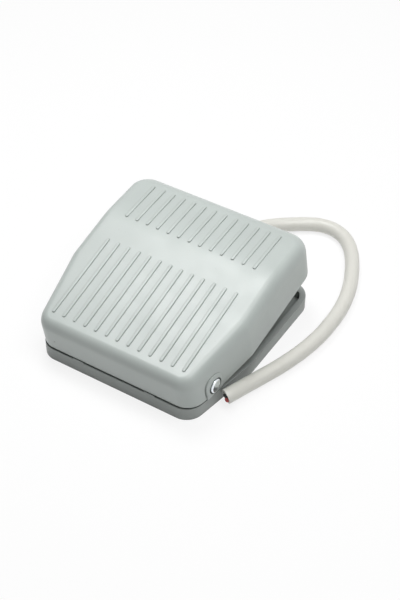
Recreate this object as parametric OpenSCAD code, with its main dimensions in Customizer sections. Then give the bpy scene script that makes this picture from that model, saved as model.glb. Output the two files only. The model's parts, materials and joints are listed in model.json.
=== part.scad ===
// Foot switch: a moulded pedal cover rocks on a steel shaft above a shallow tray.
// A snap-action switch stands on the tray under the cover, and a coil spring lifts the heel.
// Millimetres. +Z is up, +Y points to the cord end and +X lies along the pivot shaft.
// The origin is the centre of the tray's flat underside. The pedal is drawn at rest, heel up.

/* [Tray] */
// Length of the tray, front to back
tray_l = 85.6; // [78:0.2:100]
// Width of the tray behind its tapered front
tray_w = 82.5; // [78:0.2:95]
// Width of the tray at its front edge
tray_front_w = 70.6; // [64:0.2:77]
// Length of the tapered front part
taper_l = 34.5; // [28:0.5:42]
// Height of the tray's rim
rim_h = 5.7; // [5:0.1:7]
// Thickness of the rim at the sides and front
rim_t = 2.5; // [2:0.1:3.2]
// Thickness of the rim at the back
rear_rim_t = 4.5; // [3.5:0.1:6]
// Thickness of the tray's floor
floor_t = 2.4; // [2:0.1:3.2]
// Plan radius of the front corners
front_r = 7.5; // [7.2:0.1:12]
// Plan radius of the rear corners
rear_r = 9; // [8.5:0.5:13]
// Plan radius where the taper meets the straight sides
kink_r = 25; // [10:1:40]
// Width of each rest stop on the front rim
stop_w = 4.8; // [3:0.1:8]
// Distance between the two rest stops, centre to centre
stop_spacing = 33.4; // [20:0.1:44]

/* [Pedal cover] */
// Height of the cover's ridge above the tray's underside, with the pedal down
ridge_z = 27.6; // [26:0.1:32]
// Place of the ridge along the length, with the pedal down
ridge_y = 15.5; // [12:0.5:19]
// Slope of the top in front of the ridge, with the pedal down
front_slope = 3.7; // [2:0.1:4.5]
// Slope of the top behind the ridge, with the pedal down
rear_slope = 6.5; // [4:0.1:8]
// Half length of the soft bend over the ridge
ridge_blend = 4; // [2:0.5:6]
// Radius of the cover's top edges
edge_r = 6.5; // [5:0.1:7]
// Thickness of the cover's side walls
wall_t = 2.2; // [1.8:0.1:2.8]
// Thickness of the cover's top
top_t = 2.4; // [2:0.1:3]
// How far the cover's lower edge stands out past the tray
overhang = 0.4; // [0:0.1:1]
// How far the walls lean inward up to the rounded edge
draft_in = 0.4; // [0.2:0.1:1.5]
// Gap between the rim and the cover's edge, with the pedal down
closed_gap = 0.7; // [0.3:0.1:1]
// Gap under the cover's front edge at rest
front_gap = 0.5; // [0.4:0.1:1.2]
// Gap between the rest stops and the cover's front edge at rest
stop_gap = 0.15; // [0.1:0.05:0.3]

/* [Grip ribs] */
// Ribs in each row
rib_n = 13; // [7:2:13]
// Distance between ribs
rib_pitch = 5; // [4:0.1:5]
// Width of a rib
rib_w = 1.5; // [1:0.1:2.2]
// Height of a rib above the cover
rib_h = 0.45; // [0.3:0.05:0.8]
// Front end of the long ribs, with the pedal down
long_y0 = -37; // [-38:0.5:-30]
// Back end of the long ribs, with the pedal down
long_y1 = 2.6; // [-6:0.2:6]
// Front end of the short ribs, with the pedal down
short_y0 = 15.2; // [13:0.2:20]
// Back end of the short ribs, with the pedal down
short_y1 = 36.1; // [28:0.1:36.6]

/* [Pivot] */
// Place of the shaft along the length
pivot_y = -29.4; // [-31:0.1:-27]
// Height of the shaft above the tray's underside
pivot_z = 10.9; // [10.4:0.1:12]
// Angle that the pedal travels
rest_angle = 10.5; // [8:0.1:11]
// Diameter of the shaft
shaft_d = 6; // [5:0.1:6.4]
// Running clearance round the shaft, on the radius
shaft_play = 0.06; // [0.03:0.01:0.1]
// Diameter of the clearance hole round each shaft end
end_hole_d = 6.7; // [6.6:0.1:7.4]
// How far each shaft end stands out of its recess
shaft_out = 1.5; // [0.5:0.1:2.5]
// Radius of the arched recess round each shaft end
recess_r = 4.7; // [4.2:0.1:5.5]
// Depth of the arched recess
recess_t = 0.6; // [0.3:0.1:1]
// Width of the bearing boss inside each cover wall
boss_w = 2.2; // [1.5:0.1:3]
// Thickness of the tray's two ears
ear_t = 4.5; // [3:0.1:6]
// Diameter of the rounded top of the ears and bosses
ear_d = 11; // [10:0.5:13]
// Side play between the cover's bosses and the ears
ear_gap = 0.4; // [0.3:0.05:0.8]
// Diameter of the retaining clips on the shaft
clip_d = 11; // [9:0.5:13]
// Thickness of the retaining clips
clip_t = 0.9; // [0.6:0.1:1.2]

/* [Snap-action switch] */
// Length of the switch body
case_l = 27.8; // [27:0.1:30]
// Width of the switch body
case_w = 10.3; // [9.5:0.1:12]
// Height of the switch body
case_h = 15.9; // [15.5:0.1:16.5]
// Wall thickness of the switch body
case_t = 1.5; // [1.2:0.1:1.8]
// Distance from the shaft back to the switch's push pin
pin_arm = 12; // [11.5:0.1:13]
// Distance from the front of the body back to the push pin
pin_in = 4.9; // [4.6:0.1:5.4]
// Diameter of the push pin
pin_d = 3.2; // [2.6:0.1:3.6]
// How far the push pin stands above the body at rest
pin_up = 3; // [2.7:0.1:3.4]
// Diameter of the two mounting holes
case_hole_d = 3.1; // [3:0.1:3.3]
// Distance from the body's edges in to the centres of the mounting holes
case_hole_in = 2.8; // [2.6:0.1:3.2]
// Thickness of the terminals
tab_t = 0.8; // [0.5:0.1:1]
// Width of the terminals
tab_w = 4.8; // [4:0.1:5.2]
// Length of the terminals outside the body
tab_out = 6.4; // [5.5:0.1:8]
// Thickness of the tray's upright that carries the switch
cheek_t = 3; // [2.4:0.1:4]
// Diameter of the switch screws
screw_d = 3; // [2.6:0.1:3]

/* [Return spring] */
// Mean diameter of the coils
spring_d = 9; // [8.4:0.1:9.4]
// Diameter of the spring wire
wire_d = 1.4; // [1.1:0.1:1.6]
// Active coils
spring_turns = 6; // [5:1:7]
// Height of the spring at rest
spring_h = 27; // [25:0.1:28]

/* [Cord] */
// Diameter of the cord
cord_d = 6.2; // [5.8:0.1:6.4]
// Diameter of one insulated core
core_d = 2; // [1.6:0.1:2.2]
// Length of the strain relief outside the tray
relief_l = 13; // [11:0.5:13]
// Diameter of the strain relief where it meets the tray
relief_d = 9.4; // [9:0.1:10]
// Distance from the rear edge forward to the cord clamp
clamp_in = 10; // [9.8:0.1:10.4]

/* [Mounting holes] */
// Diameter of the two floor fixing holes
mount_d = 4.4; // [3.5:0.1:5.5]
// Distance between the fixing holes
mount_spacing = 56; // [48:0.5:60]
// Place of the fixing holes along the length
mount_y = 12; // [6:0.5:20]

/* [Hidden] */
$fn = 48;
eps = 0.01;
far = 100;

// Plan outline, shared by the tray and the cover
front_y = -tray_l / 2;
rear_y = tray_l / 2;
half_front = tray_front_w / 2;
half_rear = tray_w / 2;
taper_a = atan((half_rear - half_front) / taper_l);
front_c = [half_front - front_r * (1 - sin(taper_a)) / cos(taper_a), front_y + front_r];
kink_c = [half_rear - kink_r, front_y + taper_l + kink_r * tan(taper_a / 2)];
rear_c = [half_rear - rear_r, rear_y - rear_r];

// Half width of the plan outline in the tapered part, moved inward by inset
function taper_x(y, inset) = half_front + (y - front_y) * tan(taper_a) - inset / cos(taper_a);
function arc(c, r, a0, a1, n) = [
    for (i = [0:n])
        let (a = a0 + (a1 - a0) * i / n)
            c + r * [cos(a), sin(a)]
];

// Cover profile along the length, with the pedal down
rise = tan(front_slope);
fall = -tan(rear_slope);
function top_z(y) =
    y < ridge_y - ridge_blend ? ridge_z + rise * (y - ridge_y) :
    y > ridge_y + ridge_blend ? ridge_z + fall * (y - ridge_y) :
    ridge_z + rise * (y - ridge_y)
        + (fall - rise) * pow(y - ridge_y + ridge_blend, 2) / (4 * ridge_blend);
skirt_z = rim_h - 4;
cover_low = rim_h + closed_gap;
front_low = rim_h + front_gap;
corner_steps = 12;
edge_steps = 8;
stiffener_x = tray_w / 4;

// Pivot
wall_x = taper_x(pivot_y, -overhang);
recess_x = wall_x - recess_t;
shaft_half = recess_x + shaft_out;
boss_x = taper_x(pivot_y, -overhang) - wall_t - boss_w;
ear_x = boss_x - ear_gap;
clip_x = ear_x - ear_t;
clip_groove = 0.7;
clip_play = 0.05;

// Switch
case_y = pivot_y + pin_arm - pin_in;
case_z = floor_t;
pin_y = case_y + pin_in;
pin_z = case_z + case_h + pin_up;
low_hole = [case_y + case_hole_in, case_z + case_hole_in];
high_hole = [case_y + case_l - case_hole_in, case_z + case_h - case_hole_in];
hole_wall = 1;
lid_t = case_t;
pin_play = 0.05;
collar_d = pin_d + 1.6;
collar_t = 1;
slot_play = 0.05;
blade_t = 0.3;
blade_w = 4;
eye_d = 0.9;
rivet_d = 2.6;
rivet_t = 0.6;
rivet_fn = 32;
blade_z = case_z + 0.58 * case_h;
nc_z = blade_z + blade_t + 2 * rivet_t + 0.05;
com_z = case_z + 0.38 * case_h;
no_z = case_z + 0.15 * case_h;
no_top_z = case_z + 0.33 * case_h;
nc_exit_z = case_z + 0.59 * case_h;
anchor_y = case_y + 0.7 * case_l;
contact_y = case_y + 0.34 * case_l;
blade_tip = case_y + 0.12 * case_l;
nc_step_y = anchor_y + 0.07 * case_l;
no_step_y = anchor_y - 0.14 * case_l;
tab_end = case_y + case_l + tab_out;
connector_l = 5;
connector_wall = 0.4;
connector_end = tab_end + 1.6;
cheek_x = -case_w / 2;
head_d = screw_d * 1.85;
head_t = screw_d * 0.6;
nut_w = screw_d * 1.8;
nut_t = screw_d * 0.8;

// Actuator on the cover: a pad whose tilt halves over the travel
pad_gap = 0.3;
pad_l = 9;
pad_w = 6;

// Cord clamp, and the spring midway between it and the switch's connectors
clamp_y = rear_y - clamp_in;
clamp_l = 5;
clamp_front = clamp_y - clamp_l / 2;
spring_y = (connector_end + clamp_front) / 2;

// Spring seats
spring_z = floor_t;
spring_play = 0.2;
peg_play = 0.5;
peg_d = spring_d - wire_d - 2 * peg_play;
peg_h = 4;
seat_d = spring_d + wire_d + 0.6;
seat_wall = 1;
seat_ring_h = 1.2;
spring_sides = 8;
spring_steps = 12;

// Cord
cord_z = 6.6;
gland_w = relief_d + 5;
notch_play = 1;
relief_tail = 2.5;
relief_groove = 1.2;
relief_flange = 1.6;
clamp_t = 2.2;
clamp_pitch = cord_d + 7;
clamp_post_d = 5.6;
clamp_play = 0.05;
cord_sides = 10;
lead_sides = 8;
// The cord's centre line from the clamp to its cut end; y counts from the tray's rear edge
cord_route = [
    [0, -12.8, 6.6], [0, -6.5, 6.6], [0, 0.2, 6.6], [0, 6.7, 6.6], [0, 13.2, 6.6], [0.7, 19.3, 5.9],
    [2.8, 24.9, 5], [6.4, 29.9, 4.1], [11, 34.3, 3.5], [16.4, 38.4, 3.2], [22.2, 41.3, 3.15],
    [28.4, 41.9, 3.15], [34.4, 39.9, 3.15], [39.3, 36, 3.15], [43.4, 30.7, 3.15], [46.7, 24.8, 3.15],
    [49.4, 19, 3.15], [51.8, 13, 3.15], [53.6, 6.7, 3.15], [54.8, 0.6, 3.15], [55.5, -5.8, 3.15],
    [55.6, -12.8, 3.15], [55.4, -19.5, 3.15], [54.6, -25.8, 3.15], [53.4, -32.2, 3.15], [51.8, -38.4, 3.15],
    [49.8, -44.9, 3.15], [47.5, -51.1, 3.15], [45.3, -57.1, 3.3], [43.4, -63, 3.8], [41.9, -69, 4.7],
];
cord_line = [for (p = cord_route) p + [0, rear_y, 0]];

// The leads: out of the jacket, round the spring and into the connectors' sides
lead_gap = 0.8;
lead_r = (spring_d + wire_d + core_d) / 2 + lead_gap;
flag_x = tab_w / 2 + connector_wall;
flag_y = tab_end - 1;
core_x = 1.4;
core_z = cord_z + 0.8;
low_core_z = cord_z - 1.5;

// Route of one lead on one side of the spring, from its place in the jacket up or down to end_z
function lead_route(side, x, z, end_z) =
    let (start = cord_line[0][1], turns = [25:20:125], climb = (end_z - z) / 100)
    concat(
        [[x, start, z], [x, start - 0.6, z]],
        [for (a = turns) [side * lead_r * sin(a), spring_y + lead_r * cos(a), z + climb * (a - 25)]],
        [for (p = [[3.2, 4], [3, 2.2], [2.2, 0.8], [1.2, 0], [0, 0]]) [side * (flag_x + p[0]), flag_y + p[1], end_z]]
    );

// Turn the cover from its drawn position, pedal down, to rest
module to_rest() {
    translate([0, pivot_y, pivot_z])
        rotate([rest_angle, 0, 0])
            translate([0, -pivot_y, -pivot_z])
                children();
}

// Solid bar along X, centred on the given y and z
module bar(y, z, d, x0, x1) {
    translate([x0, y, z])
        rotate([0, 90, 0])
            cylinder(d = d, h = x1 - x0);
}

module both_sides() {
    children();
    mirror([1, 0, 0])
        children();
}

// Plan outline as true arcs and straight lines, moved inward by inset
module plan(inset) {
    taper_out = [cos(taper_a), -sin(taper_a)];
    corners = [
        [front_c[0], front_y + inset],
        front_c + (front_r - inset) * taper_out,
        kink_c + (kink_r - inset) * taper_out,
        [half_rear - inset, kink_c[1]],
        [half_rear - inset, rear_c[1]],
        [rear_c[0], rear_y - inset],
    ];
    count = len(corners);
    polygon(concat(corners, [for (i = [1:count]) [-corners[count - i][0], corners[count - i][1]]]));
    both_sides() {
        translate(front_c)
            circle(front_r - inset);
        translate(rear_c)
            circle(rear_r - inset);
        intersection() {
            translate(kink_c)
                circle(kink_r - inset);
            translate([0, front_y + inset])
                square([half_rear, tray_l - 2 * inset]);
        }
    }
}

module base_tray() {
    color("#7f8984")
        difference() {
            union() {
                difference() {
                    linear_extrude(rim_h)
                        plan(0);
                    translate([0, 0, floor_t])
                        linear_extrude(rim_h)
                            intersection() {
                                plan(rim_t);
                                translate([-far / 2, -far / 2])
                                    square([far, far / 2 + rear_y - rear_rim_t]);
                            }
                }
                rest_stops();
                both_sides()
                    tray_ear();
                switch_cheek();
                spring_seat();
                cord_gland();
                clamp_posts();
                floor_ribs();
            }
            bar(pivot_y, pivot_z, shaft_d, -far / 2, far / 2);
            relief_seat();
            for (hole = [low_hole, high_hole])
                bar(hole[0], hole[1], case_hole_d, cheek_x - cheek_t - eps, cheek_x + eps);
            for (side = [-1, 1])
                translate([side * mount_spacing / 2, mount_y, -eps])
                    cylinder(d = mount_d, h = floor_t + 2 * eps);
            for (side = [-1, 1])
                translate([side * clamp_pitch / 2, clamp_y, floor_t])
                    cylinder(d = screw_d - 0.5, h = far);
        }
}

// Two tabs on the front rim that the cover's edge rests on
module rest_stops() {
    for (side = [-1, 1])
        translate([side * stop_spacing / 2 - stop_w / 2, front_y, rim_h - eps])
            cube([stop_w, rim_t, front_gap - stop_gap + eps]);
}

// Ear that holds the shaft, with a rib behind it
module tray_ear() {
    translate([clip_x, pivot_y, 0])
        rotate([90, 0, 90])
            linear_extrude(ear_t) {
                translate([0, pivot_z])
                    circle(d = ear_d);
                translate([-ear_d / 2, floor_t - 1])
                    square([ear_d, pivot_z - floor_t + 1]);
                polygon([[ear_d / 2 - 1, floor_t - 1], [ear_d + 2, floor_t - 1], [ear_d / 2 - 1, pivot_z]]);
            }
}

// Upright that the switch is screwed against, with three gussets behind it
module switch_cheek() {
    foot = 4;
    gusset_t = 2;
    front = case_y - gusset_t - 0.6;
    back = case_y + case_l;
    translate([cheek_x - cheek_t, front, floor_t - 1])
        cube([cheek_t, back - front, case_h + 1]);
    for (y = [front + gusset_t, case_y + case_l / 2, back])
        translate([cheek_x - cheek_t + eps, y, floor_t - 1])
            rotate([90, 0, 0])
                linear_extrude(gusset_t)
                    polygon([[0, 0], [-foot, 0], [0, case_h * 0.7]]);
}

// Ring and peg that locate the spring on the floor
module spring_seat() {
    translate([0, spring_y, floor_t - 1]) {
        cylinder(d = peg_d, h = peg_h + 1);
        difference() {
            cylinder(d = seat_d + 2 * seat_wall, h = seat_ring_h + 1);
            translate([0, 0, -eps])
                cylinder(d = seat_d, h = seat_ring_h + 2);
        }
    }
}

// Raised block in the rear rim that the strain relief sits in
module cord_gland() {
    translate([0, rear_y, 0])
        rotate([90, 0, 0])
            linear_extrude(rear_rim_t)
                arch(gland_w, floor_t - 1);
}

// Arch of the given width round the cord's axis, standing on the height low
module arch(width, low) {
    intersection() {
        union() {
            translate([0, cord_z])
                circle(d = width);
            translate([-width / 2, cord_z - width])
                square([width, width]);
        }
        translate([-far / 2, low])
            square([far, far]);
    }
}

// Stepped seat for the strain relief, cut into the gland block
module relief_seat() {
    translate([0, rear_y - rear_rim_t - eps, cord_z])
        rotate([-90, 0, 0])
            cylinder(d = relief_d - 2 * relief_groove, h = rear_rim_t + 2 * eps);
    translate([0, rear_y - rear_rim_t - eps, cord_z])
        rotate([-90, 0, 0])
            cylinder(d = relief_d, h = relief_flange + eps);
}

module clamp_posts() {
    for (side = [-1, 1])
        translate([side * clamp_pitch / 2, clamp_y, floor_t - 1])
            cylinder(d = clamp_post_d, h = cord_z - floor_t + 1);
    translate([-clamp_pitch / 2, clamp_y - clamp_l / 2, floor_t - 1])
        cube([clamp_pitch, clamp_l, cord_z - cord_d / 2 - floor_t + 1]);
}

// Low stiffening ribs on the tray's floor, clear of the switch
module floor_ribs() {
    long_x = stiffener_x;
    cross_x = 14;
    cross_y = -6;
    rib_t = 1.4;
    both_sides() {
        translate([long_x - rib_t / 2, front_y + rim_t - 1, floor_t - 1])
            cube([rib_t, tray_l - rim_t - rear_rim_t + 2, rib_t + 1]);
        translate([cross_x, cross_y, floor_t - 1])
            cube([half_front - rim_t - cross_x, rib_t, rib_t + 1]);
    }
}

// Right half of one ring of the cover's outline, front to back
function half_ring(inset) = concat(
    arc(front_c, front_r - inset, -90, -taper_a, corner_steps),
    arc(kink_c, kink_r - inset, -taper_a, 0, 3),
    [for (s = [-1:0.5:1]) [half_rear - inset, ridge_y + s * ridge_blend]],
    arc(rear_c, rear_r - inset, 0, 90, corner_steps)
);

// One ring at the height that its point's place along the length gives
function full_ring(inset, drop) =
    let (half = half_ring(inset), n = len(half))
    concat(
        [for (p = half) [p[0], p[1], top_z(p[1]) - drop]],
        [for (i = [n - 1:-1:0]) [-half[i][0], half[i][1], top_z(half[i][1]) - drop]]
    );
function flat_ring(inset, z) =
    let (half = half_ring(inset), n = len(half))
    concat(
        [for (p = half) [p[0], p[1], z]],
        [for (i = [n - 1:-1:0]) [-half[i][0], half[i][1], z]]
    );

// Closed form of the cover: walls that lean in, a rounded edge and the two-plane top
module cover_form(inset, radius, thick) {
    rings = concat(
        [flat_ring(inset - overhang, skirt_z)],
        [for (i = [0:edge_steps])
            let (a = 90 * i / edge_steps)
                full_ring(inset - overhang + draft_in + radius * (1 - cos(a)), thick + radius * (1 - sin(a)))]
    );
    n = len(rings[0]);
    last = len(rings) - 1;
    half = n / 2;
    points = [for (ring = rings) each ring];
    sides = [
        for (k = [0:last - 1], i = [0:n - 1])
            [k * n + i, (k + 1) * n + i, (k + 1) * n + (i + 1) % n, k * n + (i + 1) % n]
    ];
    bottom = [for (i = [0:half - 2]) [i, i + 1, n - 2 - i, n - 1 - i]];
    top = [for (i = [0:half - 2]) [last * n + n - 1 - i, last * n + n - 2 - i, last * n + i + 1, last * n + i]];
    polyhedron(points, concat(sides, bottom, top));
}

// One rib with round ends, lying on the cover's top
module grip_rib(x, y0, y1) {
    sink = 0.6;
    slope = atan((top_z(y1) - top_z(y0)) / (y1 - y0));
    length = (y1 - y0) / cos(slope);
    translate([x, y0, top_z(y0)])
        rotate([slope, 0, 0])
            translate([0, 0, -sink])
                linear_extrude(sink + rib_h) {
                    translate([0, rib_w / 2])
                        circle(d = rib_w, $fn = 24);
                    translate([0, length - rib_w / 2])
                        circle(d = rib_w, $fn = 24);
                    translate([-rib_w / 2, rib_w / 2])
                        square([rib_w, length - rib_w]);
                }
}

module grip_ribs() {
    for (i = [-(rib_n - 1) / 2:(rib_n - 1) / 2]) {
        grip_rib(i * rib_pitch, long_y0, long_y1);
        grip_rib(i * rib_pitch, short_y0, short_y1);
    }
}

module pedal_cover() {
    color("#b9c4bf")
        difference() {
            to_rest() {
                cover_form(0, edge_r, 0);
                grip_ribs();
            }
            difference() {
                to_rest()
                    cover_form(wall_t, edge_r - wall_t, top_t);
                both_sides()
                    pivot_boss();
                actuator_pad();
                spring_boss();
                to_rest()
                    cover_stiffeners();
            }
            edge_cut();
            bar(pivot_y, pivot_z, shaft_d + 2 * shaft_play, -far / 2, far / 2);
            both_sides()
                shaft_recess();
            cord_notch();
        }
}

// Everything below the cover's lower edge: level in front of the shaft, sloping behind it
module edge_cut() {
    drop = pivot_z - cover_low;
    bend_y = pivot_y + (front_low - pivot_z + drop / cos(rest_angle)) / tan(rest_angle);
    rear_z = front_low + (far - bend_y) * tan(rest_angle);
    rotate([90, 0, 90])
        translate([0, 0, -far / 2])
            linear_extrude(far)
                polygon([[-far, -far], [-far, front_low], [bend_y, front_low], [far, rear_z], [far, -far]]);
}

// Bearing boss inside the side wall
module pivot_boss() {
    bar(pivot_y, pivot_z, ear_d, boss_x, half_rear);
}

// Arched recess in the side wall, open at the lower edge, with the clearance hole
module shaft_recess() {
    turn = -taper_a;
    bar(pivot_y, pivot_z, end_hole_d, wall_x - recess_t - wall_t / 2, half_rear + eps);
    translate([recess_x, pivot_y, pivot_z])
        rotate([0, 0, turn])
            rotate([90, 0, 90])
                linear_extrude(recess_r) {
                    circle(recess_r);
                    translate([-recess_r, -far / 2])
                        square([2 * recess_r, far / 2]);
                }
}

// Pad that pushes the switch pin
module actuator_pad() {
    translate([0, pin_y, pin_z + pad_gap])
        rotate([rest_angle / 2, 0, 0])
            translate([-pad_w / 2, -pad_l / 2, 0])
                cube([pad_w, pad_l, far]);
}

// Flat seat and peg for the top of the spring
module spring_boss() {
    seat_z = spring_z + spring_h + spring_play;
    translate([0, spring_y, seat_z])
        cylinder(d = seat_d, h = far);
    translate([0, spring_y, seat_z - peg_h])
        cylinder(d = peg_d, h = far);
}

// Ribs under the cover's top
module cover_stiffeners() {
    rib_t = 1.4;
    rib_drop = 3;
    for (side = [-1, 1])
        translate([side * stiffener_x - rib_t / 2, front_y, 0])
            intersection() {
                cube([rib_t, tray_l, far]);
                rotate([90, 0, 90])
                    linear_extrude(rib_t)
                        polygon([
                            [0, top_z(front_y) - top_t - rib_drop],
                            [ridge_y - front_y, ridge_z - top_t - rib_drop],
                            [tray_l, top_z(rear_y) - top_t - rib_drop],
                            [tray_l, far], [0, far],
                        ]);
            }
}

// Way for the gland block through the cover's rear wall
module cord_notch() {
    depth = wall_t + 2;
    to_rest()
        translate([0, rear_y + depth, 0])
            rotate([90, 0, 0])
                linear_extrude(2 * depth)
                    arch(gland_w + 2 * notch_play, 0);
}

module pivot_shaft() {
    chamfer = 0.5;
    color("#c9d0d6")
        difference() {
            union() {
                bar(pivot_y, pivot_z, shaft_d, -shaft_half + chamfer, shaft_half - chamfer);
                both_sides()
                    translate([shaft_half - chamfer, pivot_y, pivot_z])
                        rotate([0, 90, 0])
                            cylinder(d1 = shaft_d, d2 = shaft_d - 2 * chamfer, h = chamfer);
            }
            both_sides()
                difference() {
                    bar(pivot_y, pivot_z, shaft_d + 1, clip_x - clip_t - clip_play, clip_x);
                    bar(pivot_y, pivot_z, shaft_d - 2 * clip_groove, clip_x - clip_t - 1, clip_x + 1);
                }
        }
}

module shaft_clips() {
    bore = shaft_d - 2 * clip_groove;
    slot = bore * 0.8;
    color("#3f4448")
        both_sides()
            translate([clip_x - clip_t - clip_play / 2, pivot_y, pivot_z])
                rotate([90, 0, 90])
                    linear_extrude(clip_t)
                        difference() {
                            circle(d = clip_d);
                            circle(d = bore + 2 * clip_play);
                            translate([-slot / 2, -clip_d])
                                square([slot, clip_d]);
                        }
}

// Outline of the switch body seen from the side
module case_side(inset) {
    translate([case_y + inset, case_z + inset])
        square([case_l - 2 * inset, case_h - 2 * inset]);
}

// Upright plate in the YZ plane, from x0 to x1
module side_plate(x0, x1) {
    translate([x0, 0, 0])
        rotate([90, 0, 90])
            linear_extrude(x1 - x0)
                children();
}

module switch_case() {
    color("#26292c")
        difference() {
            side_plate(-case_w / 2, case_w / 2 - lid_t)
                case_side(0);
            difference() {
                side_plate(-case_w / 2 + case_t, case_w / 2)
                    case_side(case_t);
                for (hole = [low_hole, high_hole])
                    bar(hole[0], hole[1], case_hole_d + 2 * hole_wall, -case_w / 2, case_w / 2);
            }
            for (hole = [low_hole, high_hole])
                bar(hole[0], hole[1], case_hole_d, -case_w, case_w);
            translate([0, pin_y, case_z + case_h - 2 * case_t])
                cylinder(d = pin_d + 2 * pin_play, h = 3 * case_t);
            for (z = [nc_exit_z, com_z, no_z])
                translate([-tab_w / 2 - slot_play, case_y + case_l - case_t - 1, z - slot_play])
                    cube([tab_w + 2 * slot_play, case_t + 2, tab_t + 2 * slot_play]);
        }
}

module switch_lid() {
    color("#3a3f42")
        difference() {
            side_plate(case_w / 2 - lid_t, case_w / 2)
                case_side(0);
            for (hole = [low_hole, high_hole])
                bar(hole[0], hole[1], case_hole_d, 0, case_w);
        }
}

module switch_plunger() {
    dome_r = pin_d;
    dome_h = dome_r - sqrt(dome_r * dome_r - pin_d * pin_d / 4);
    nose_d = 1.4;
    nose_h = 0.5;
    nose_z = blade_z + blade_t + 0.2;
    low = nose_z + nose_h;
    collar_z = case_z + case_h - case_t - collar_t - 0.1;
    color("#a33a2a")
        translate([0, pin_y, 0]) {
            translate([0, 0, nose_z])
                cylinder(d = nose_d, h = nose_h + eps);
            translate([0, 0, low])
                cylinder(d = pin_d, h = pin_z - low - dome_h);
            translate([0, 0, collar_z])
                cylinder(d = collar_d, h = collar_t);
            translate([0, 0, pin_z - dome_r])
                intersection() {
                    sphere(dome_r);
                    translate([0, 0, dome_r - dome_h - eps])
                        cylinder(d = pin_d, h = dome_h + 2 * eps);
                }
        }
}

module contact_blade() {
    color("#c98f4e") {
        translate([-blade_w / 2, blade_tip, blade_z])
            cube([blade_w, anchor_y - blade_tip, blade_t]);
        bar(anchor_y, blade_z + blade_t / 2, eye_d, -blade_w / 2, blade_w / 2);
    }
}

module rivet(z) {
    translate([0, contact_y, z])
        cylinder(d = rivet_d, h = rivet_t, $fn = rivet_fn);
}

module moving_contact() {
    color("#d9dcdf") {
        rivet(blade_z + blade_t);
        rivet(blade_z - rivet_t);
    }
}

module fixed_contacts() {
    color("#d9dcdf") {
        rivet(nc_z - rivet_t);
        rivet(no_top_z + tab_t);
    }
}

// Bent strip: runs in from the tab's end at z, steps to the second height at step_y, ends at end_y
module terminal_strip(z, step_y, step_z, end_y) {
    low = min(z, step_z);
    high = max(z, step_z) + tab_t;
    color("#c7b27a") {
        translate([-tab_w / 2, step_y, z])
            cube([tab_w, tab_end - step_y, tab_t]);
        translate([-tab_w / 2, step_y, low])
            cube([tab_w, tab_t, high - low]);
        translate([-tab_w / 2, end_y, step_z])
            cube([tab_w, step_y - end_y + tab_t, tab_t]);
    }
}

module terminal_nc() {
    terminal_strip(nc_exit_z, nc_step_y, nc_z, contact_y - rivet_d / 2 + 0.4);
}

module terminal_com() {
    seat_z = blade_z + blade_t / 2 - eye_d / 2 - 0.03;
    terminal_strip(com_z, anchor_y, seat_z - tab_t, anchor_y - tab_t);
}

module terminal_no() {
    terminal_strip(no_z, no_step_y, no_top_z, contact_y - rivet_d / 2);
}

module switch_screws() {
    length = case_w + cheek_t + nut_t + 1.2;
    color("#b8bdc2")
        for (hole = [low_hole, high_hole]) {
            bar(hole[0], hole[1], screw_d, case_w / 2 - length, case_w / 2);
            difference() {
                bar(hole[0], hole[1], head_d, case_w / 2, case_w / 2 + head_t);
                translate([case_w / 2 + head_t / 2, hole[0] - head_d / 2, hole[1] - 0.4])
                    cube([head_t, head_d, 0.8]);
            }
        }
}

module switch_nuts() {
    color("#b8bdc2")
        for (hole = [low_hole, high_hole])
            difference() {
                translate([cheek_x - cheek_t - nut_t, hole[0], hole[1]])
                    rotate([30, 0, 0])
                        rotate([0, 90, 0])
                            cylinder(d = nut_w / cos(30), h = nut_t, $fn = 6);
                bar(hole[0], hole[1], screw_d, -far, far);
            }
}

// Push-on connectors over the switch tabs
module tab_connectors() {
    color("#d6c27a")
        for (z = [nc_exit_z, com_z, no_z])
            difference() {
                translate([-flag_x, connector_end - connector_l, z - connector_wall])
                    cube([2 * flag_x, connector_l, tab_t + 2 * connector_wall]);
                translate([-tab_w / 2, connector_end - connector_l - 1, z])
                    cube([tab_w, tab_end - connector_end + connector_l + 1, tab_t]);
            }
}

// Height of the spring's wire centre after t turns: one closed turn at each end
function spring_rise(t) =
    let (active = spring_h - 3 * wire_d)
    t < 1 ? wire_d / 2 + wire_d * t :
    t > spring_turns + 1 ? spring_h - wire_d / 2 - wire_d * (spring_turns + 2 - t) :
    1.5 * wire_d + active * (t - 1) / spring_turns;

module return_spring() {
    count = (spring_turns + 2) * spring_steps;
    centres = [
        for (i = [0:count])
            let (t = i / spring_steps)
                [spring_d / 2 * cos(360 * t), spring_d / 2 * sin(360 * t), spring_rise(t)]
    ];
    color("#9aa0a6")
        translate([0, spring_y, spring_z])
            tube(centres, wire_d, spring_sides);
}

// Tube of the given diameter along a list of points
function unit(v) = v / norm(v);
function heading(route, i) = unit(route[min(i + 1, len(route) - 1)] - route[max(i - 1, 0)]);
function tube_ring(route, i, d, sides) =
    let (ahead = heading(route, i), across = unit(cross(ahead, [0, 0, 1])), up = cross(across, ahead))
    [for (k = [0:sides - 1])
        let (a = 360 * (k + 0.5) / sides)
            route[i] + d / 2 * (cos(a) * across + sin(a) * up)];
module tube(route, d, sides) {
    last = len(route) - 1;
    points = [for (i = [0:last]) each tube_ring(route, i, d, sides)];
    walls = [
        for (i = [0:last - 1], k = [0:sides - 1])
            [i * sides + k, i * sides + (k + 1) % sides, (i + 1) * sides + (k + 1) % sides, (i + 1) * sides + k]
    ];
    start = [for (k = [sides - 1:-1:0]) k];
    end = [for (k = [0:sides - 1]) last * sides + k];
    polyhedron(points, concat(walls, [start, end]));
}

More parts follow.
